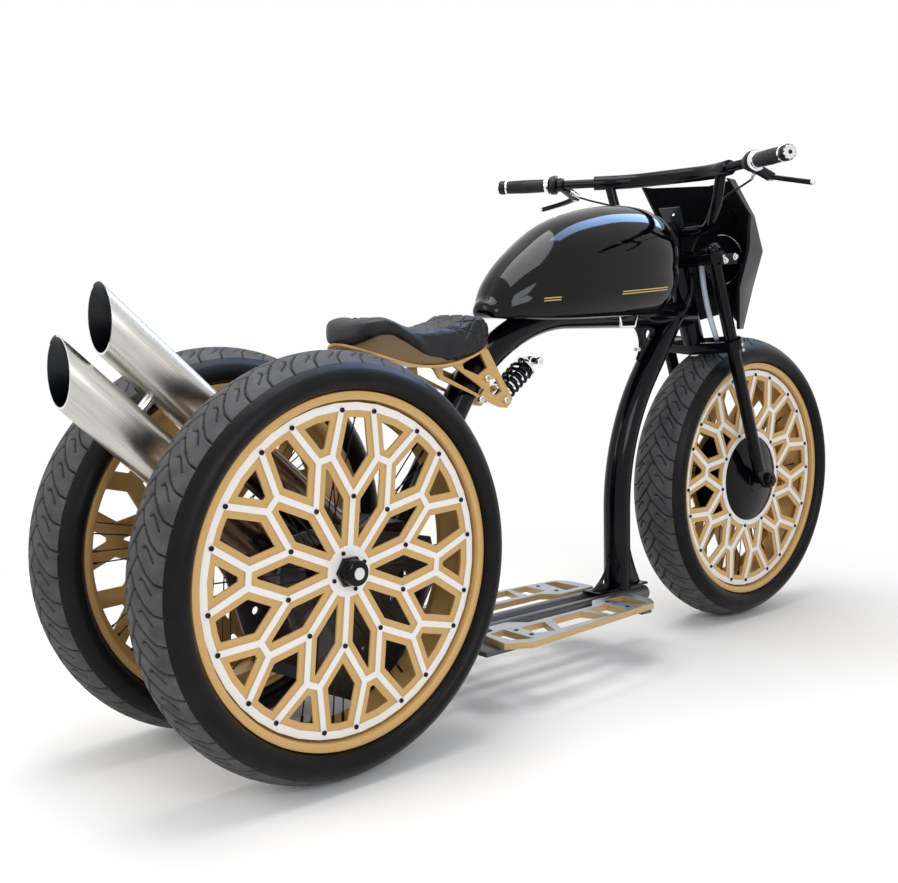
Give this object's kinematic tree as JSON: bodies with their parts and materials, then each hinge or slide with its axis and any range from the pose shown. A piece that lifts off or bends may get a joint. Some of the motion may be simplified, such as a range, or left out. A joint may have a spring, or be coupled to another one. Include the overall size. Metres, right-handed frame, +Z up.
{
  "type": "motorized trike",
  "caption": "Custom three-wheeled chopper with a raked fork, lattice disc wheels, teardrop tank, solo seat and twin slash-cut exhausts.",
  "frame": {"origin": "centre of the bounding box at the ground", "axes": "+X forward, +Y to the rider's left, +Z up"},
  "size_m": [2.225, 0.8688, 1.148],
  "materials": {
    "tyre": "matt",
    "gloss_black": "gloss",
    "gold": "satin metallic",
    "white": "satin",
    "chrome": "polished",
    "stainless": "brushed",
    "alloy": "brushed",
    "leather": "satin",
    "grip_rubber": "matt",
    "dark_grey": "satin",
    "frame_grey": "satin metallic",
    "hose": "translucent",
    "engine_case": "cast"
  },
  "bodies": {
    "frame": {"head_tube": "gloss_black", "backbone": "gloss_black", "down_tube": "gloss_black", "floor_rails": "frame_grey", "gussets": "gloss_black", "rear_carrier": "frame_grey", "stub_axles": "stainless", "engine": "engine_case", "exhaust_lower": "stainless", "exhaust_upper": "stainless", "exhaust_bracket": "chrome", "tank": "gloss_black", "seat": "leather", "seat_pan": "gold", "seat_brackets": "gold", "shock": "chrome", "shock_spring": "gloss_black", "footboard_right": "alloy", "footboard_left": "alloy", "board_mounts": "frame_grey", "lock_loop": "chrome", "tank_cable": "grip_rubber"},
    "steering": {"front_axle": "stainless", "fork_legs": "gloss_black", "upper_clamp": "gloss_black", "lower_clamp": "gloss_black", "steering_stem": "stainless", "handlebar": "gloss_black", "grips": "grip_rubber", "levers": "gloss_black", "fairing": "dark_grey", "lamp": "gloss_black", "lever_cables": "grip_rubber", "fork_hose": "hose", "fairing_stays": "gloss_black"},
    "front_wheel": {"front_tyre": "tyre", "front_rim": "gold", "front_hub": "gloss_black", "front_lattice": "gold", "front_overlay": "white"},
    "rear_wheel_right": {"rear_right_tyre": "tyre", "rear_right_rim": "gold", "rear_right_hub": "gloss_black", "rear_right_lattice": "gold", "rear_right_overlay": "white"},
    "rear_wheel_left": {"rear_left_tyre": "tyre", "rear_left_rim": "gold", "rear_left_hub": "gloss_black", "rear_left_lattice": "gold", "rear_left_overlay": "white"}
  },
  "joints": [
    {"name": "steering", "type": "hinge", "parent": "frame", "child": "steering", "pos_m": [0.50811, 0, 0.83], "axis": [-0.3746, 0, 0.9272], "range_deg": [-32, 32]},
    {"name": "front_wheel_spin", "type": "hinge", "parent": "steering", "child": "front_wheel", "pos_m": [0.7425, 0, 0.37], "axis": [0, 1, 0], "continuous": true},
    {"name": "rear_right_wheel_spin", "type": "hinge", "parent": "frame", "child": "rear_wheel_right", "pos_m": [-0.7225, -0.183, 0.37], "axis": [0, 1, 0], "continuous": true},
    {"name": "rear_left_wheel_spin", "type": "hinge", "parent": "frame", "child": "rear_wheel_left", "pos_m": [-0.7225, 0.183, 0.37], "axis": [0, 1, 0], "continuous": true}
  ]
}
